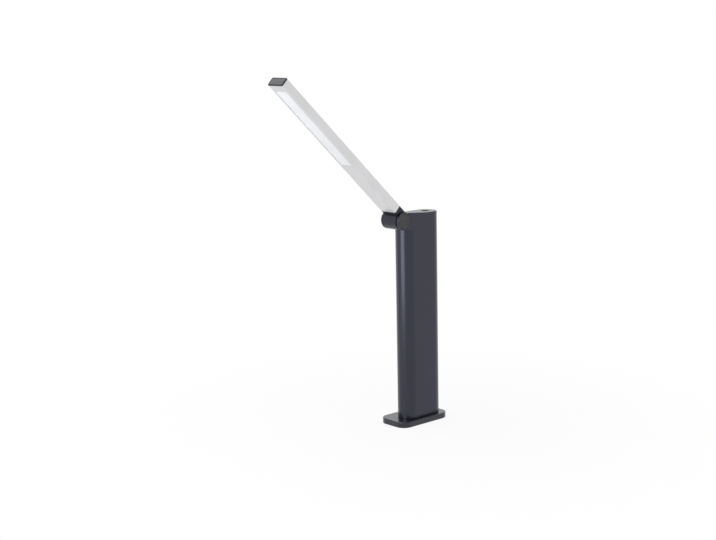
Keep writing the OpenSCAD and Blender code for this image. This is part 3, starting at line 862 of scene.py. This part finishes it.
@dataclass
class Arm:
    """The arm's light window and its end cap, drawn level and then turned to the arm's angle."""

    centre_x: float = 0.1
    width: float = 23.6
    thickness: float = 10.2
    length: float = 226.0
    edge: float = 1.5
    cap_height: float = 1.6
    plug_depth: float = 4.0
    wall: float = 1.2
    window_start: float = 96.0
    window_end: float = 215.5
    window_width: float = 17.6
    sunk: float = 0.15
    flange: float = 0.9
    flange_height: float = 1.0
    window_corner: float = 0.5
    window_edge: float = 0.25
    cap_edge: float = 0.7
    cap_steps: Steps = ((0.4, 0.0), (0.12, -0.2))
    gap: float = 0.1

    def build(self) -> None:
        """Builds the window and the cap."""
        self._window()
        self._end_cap()

    def _window(self) -> None:
        """Builds the milky strip with its softened rim and the flange behind the wall."""
        half = self.window_width / 2 - self.gap
        obj = add_block(
            "milky_window",
            (self.centre_x - half, -self.window_end + self.gap, self.sunk),
            (self.centre_x + half, -self.window_start - self.gap, self.wall),
        )
        with editing(obj):
            pick_edges(obj, lambda middle, way: abs(way.z) > ALONG)
            bevel(self.window_corner, 4)
            pick_edges(obj, lambda middle, way: middle.z < self.sunk + TOUCH)
            bevel(self.window_edge, 3)
            pick_faces(obj, lambda middle, normal: normal.z > FACING)
            push((0.0, 0.0, self.flange_height))
            pick_faces(
                obj,
                lambda middle, normal: middle.z > self.wall + TOUCH and abs(normal.z) < ACROSS,
            )
            bpy.ops.mesh.extrude_region_shrink_fatten(
                TRANSFORM_OT_shrink_fatten={"value": (self.flange + self.gap) * MM}
            )
        stand_on_arm(obj)
        fit(obj, "diffuser", Body.ARM, MILKY)

    def _end_cap(self) -> None:
        """Builds the cap: a black rim with round corners, a textured inner face and a plug."""
        half = self.width / 2
        start = self.length - self.cap_height
        obj = add_block(
            "rimmed_end_cap",
            (self.centre_x - half, -self.length, 0.0),
            (self.centre_x + half, -start, self.thickness),
        )
        obj.data.materials.append(ARM_BLACK.material())
        obj.data.materials.append(CAP_FACE.material())
        with editing(obj):
            pick_edges(obj, lambda middle, way: abs(way.y) > ALONG)
            bevel(self.edge, 8)
            pick_edges(obj, lambda middle, way: middle.y < -self.length + TOUCH)
            bevel(self.cap_edge, 5)
            pick_faces(obj, lambda middle, normal: normal.y < -FACING)
            step_in(self.cap_steps)
            obj.active_material_index = 1
            bpy.ops.object.material_slot_assign()
            pick_faces(obj, lambda middle, normal: normal.y > FACING)
            inset(self.wall + self.gap)
            push((0.0, self.plug_depth, 0.0))
        stand_on_arm(obj)
        fit(obj, "end_cap", Body.ARM, ARM_BLACK)


@dataclass
class CarriedNodes:
    """The CAD nodes whose shape is right and that only get a finer finish."""

    finishes: dict = field(default_factory=lambda: dict(NODE_FINISHES))

    def dress(self) -> None:
        """Gives each node its finish."""
        for name, finish in self.finishes.items():
            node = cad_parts[name]
            node.data.materials.clear()
            node.data.materials.append(finish.material())
            LOG.info("%s is finished in %s", name, finish.name)


@dataclass(frozen=True)
class Lamp:
    """A soft rectangular studio lamp that faces the desk lamp."""

    name: str
    place: Point
    aim: Point
    width: float
    height: float
    power: float
    colour: Colour = (1.0, 1.0, 1.0)

    def hang(self) -> Piece:
        """Adds the lamp.

        Returns:
            The light object.
        """
        light = bpy.data.lights.new(self.name, "AREA")
        light.shape = "RECTANGLE"
        light.size = self.width
        light.size_y = self.height
        light.energy = self.power
        light.color = self.colour
        obj = bpy.data.objects.new(self.name, light)
        bpy.context.scene.collection.objects.link(obj)
        obj.location = self.place
        way = Vector(self.aim) - Vector(self.place)
        obj.rotation_euler = way.to_track_quat("-Z", "Y").to_euler()
        obj.visible_camera = False
        return obj


def share_along(
    tree: Tree, start: float, end: float, curve: str = "LINEAR", least: float = 0.0
) -> Socket:
    """Adds a share that grows to 1 between two distances from an object's origin.

    Args:
        tree: The node tree to add it to.
        start: The nearer distance, in metres.
        end: The farther distance, in metres.
        curve: How it grows, by the node's own name for it.
        least: Its value up to the nearer distance.

    Returns:
        The socket that carries the share.
    """
    place = tree.nodes.new("ShaderNodeTexCoord")
    reach = tree.nodes.new("ShaderNodeVectorMath")
    reach.operation = "LENGTH"
    span = tree.nodes.new("ShaderNodeMapRange")
    span.interpolation_type = curve
    span.inputs["From Min"].default_value = start
    span.inputs["From Max"].default_value = end
    span.inputs["To Min"].default_value = least
    tree.links.new(place.outputs["Object"], reach.inputs[0])
    tree.links.new(reach.outputs["Value"], span.inputs["Value"])
    return span.outputs["Result"]


@dataclass
class Studio:
    """The pale floor, the white surroundings, the lamps and the camera."""

    camera_place: Point = (1.0992, -1.0501, 0.4505)
    camera_back: Point = (0.7383, -0.6505, 0.1781)
    camera_roll: float = -1.16
    lens: float = 69.04
    fill: float = 0.55
    floor_shade: float = 0.72
    floor_white: float = 0.9
    floor_radius: float = 12.0
    fade: Tuple[float, float] = (0.05, 0.45)
    lamps: Sequence[Lamp] = (
        Lamp("front_softbox", (0.02, -0.65, 0.32), (0.0, 0.0, 0.32), 0.42, 0.60, 2.2),
        Lamp("top_softbox", (-0.35, -0.20, 1.60), (0.0, 0.0, 0.1), 1.30, 1.30, 14.0),
    )

    def build(self) -> None:
        """Sets up the whole studio."""
        self._camera()
        self._world()
        self._floor()
        for lamp in self.lamps:
            lamp.hang()

    def _camera(self) -> None:
        """Adds the camera at the photograph's viewing angle."""
        data = bpy.data.cameras.new("photo_camera")
        data.sensor_fit = "HORIZONTAL"
        data.sensor_width = 36.0
        data.lens = self.lens
        data.clip_start = 0.05
        data.clip_end = 60.0
        obj = bpy.data.objects.new("photo_camera", data)
        bpy.context.scene.collection.objects.link(obj)
        back = Vector(self.camera_back).normalized()
        level = Vector((0.0, 0.0, 1.0)).cross(back).normalized()
        upright = back.cross(level)
        roll = math.radians(self.camera_roll)
        right = level * math.cos(roll) + upright * math.sin(roll)
        up = upright * math.cos(roll) - level * math.sin(roll)
        turn = Matrix((right, up, back)).transposed().to_4x4()
        obj.matrix_world = Matrix.Translation(self.camera_place) @ turn
        bpy.context.scene.camera = obj

    def _seen_directly(self, tree: Tree) -> Socket:
        """Adds the test that a ray comes from the camera, a gloss or a glass.

        Args:
            tree: The node tree to add it to.

        Returns:
            The socket that is 1 for such a ray.
        """
        path = tree.nodes.new("ShaderNodeLightPath")
        first = tree.nodes.new("ShaderNodeMath")
        first.operation = "MAXIMUM"
        second = tree.nodes.new("ShaderNodeMath")
        second.operation = "MAXIMUM"
        tree.links.new(path.outputs["Is Camera Ray"], first.inputs[0])
        tree.links.new(path.outputs["Is Glossy Ray"], first.inputs[1])
        tree.links.new(first.outputs[0], second.inputs[0])
        tree.links.new(path.outputs["Is Transmission Ray"], second.inputs[1])
        return second.outputs[0]

    def _world(self) -> None:
        """Makes the surroundings white to the eye and softer as a light."""
        world = bpy.data.worlds.new("white_studio")
        bpy.context.scene.world = world
        world.use_nodes = True
        tree = world.node_tree
        tree.nodes.clear()
        fill = tree.nodes.new("ShaderNodeBackground")
        fill.inputs["Color"].default_value = (0.96, 0.98, 1.0, 1.0)
        fill.inputs["Strength"].default_value = self.fill
        seen = tree.nodes.new("ShaderNodeBackground")
        seen.inputs["Color"].default_value = (1.0, 1.0, 1.0, 1.0)
        seen.inputs["Strength"].default_value = 1.0
        mix = tree.nodes.new("ShaderNodeMixShader")
        out = tree.nodes.new("ShaderNodeOutputWorld")
        tree.links.new(self._seen_directly(tree), mix.inputs["Fac"])
        tree.links.new(fill.outputs["Background"], mix.inputs[1])
        tree.links.new(seen.outputs["Background"], mix.inputs[2])
        tree.links.new(mix.outputs["Shader"], out.inputs["Surface"])

    def _floor(self) -> None:
        """Lays a pale floor that keeps a faint shadow and fades into the white surroundings."""
        bpy.ops.object.select_all(action="DESELECT")
        bpy.ops.mesh.primitive_circle_add(vertices=96, radius=self.floor_radius, fill_type="NGON")
        obj = bpy.context.object
        obj.name = "studio_floor"
        material = bpy.data.materials.new("pale_floor")
        material.use_nodes = True
        tree = material.node_tree
        shader = tree.nodes["Principled BSDF"]
        shader.inputs["Base Color"].default_value = (*[self.floor_shade] * 3, 1.0)
        shader.inputs["Roughness"].default_value = 0.9
        shader.inputs["Specular IOR Level"].default_value = 0.1
        white = tree.nodes.new("ShaderNodeEmission")
        fade = share_along(tree, *self.fade, "SMOOTHSTEP", self.floor_white)
        both = tree.nodes.new("ShaderNodeMath")
        both.operation = "MULTIPLY"
        mix = tree.nodes.new("ShaderNodeMixShader")
        out = tree.nodes["Material Output"]
        tree.links.new(fade, both.inputs[0])
        tree.links.new(self._seen_directly(tree), both.inputs[1])
        tree.links.new(both.outputs[0], mix.inputs["Fac"])
        tree.links.new(shader.outputs["BSDF"], mix.inputs[1])
        tree.links.new(white.outputs["Emission"], mix.inputs[2])
        tree.links.new(mix.outputs["Shader"], out.inputs["Surface"])
        obj.data.materials.append(material)


def main() -> None:
    """Builds the lamp's pieces, their finishes and the studio."""
    logging.basicConfig(level=logging.INFO, format="%(message)s")
    CarriedNodes().dress()
    for part in (Base(), Shells(), ColumnTop(), Hinge(), Arm()):
        part.build()
    bpy.context.scene.view_settings.view_transform = "Standard"
    Studio().build()


if __name__ == "__main__":
    main()
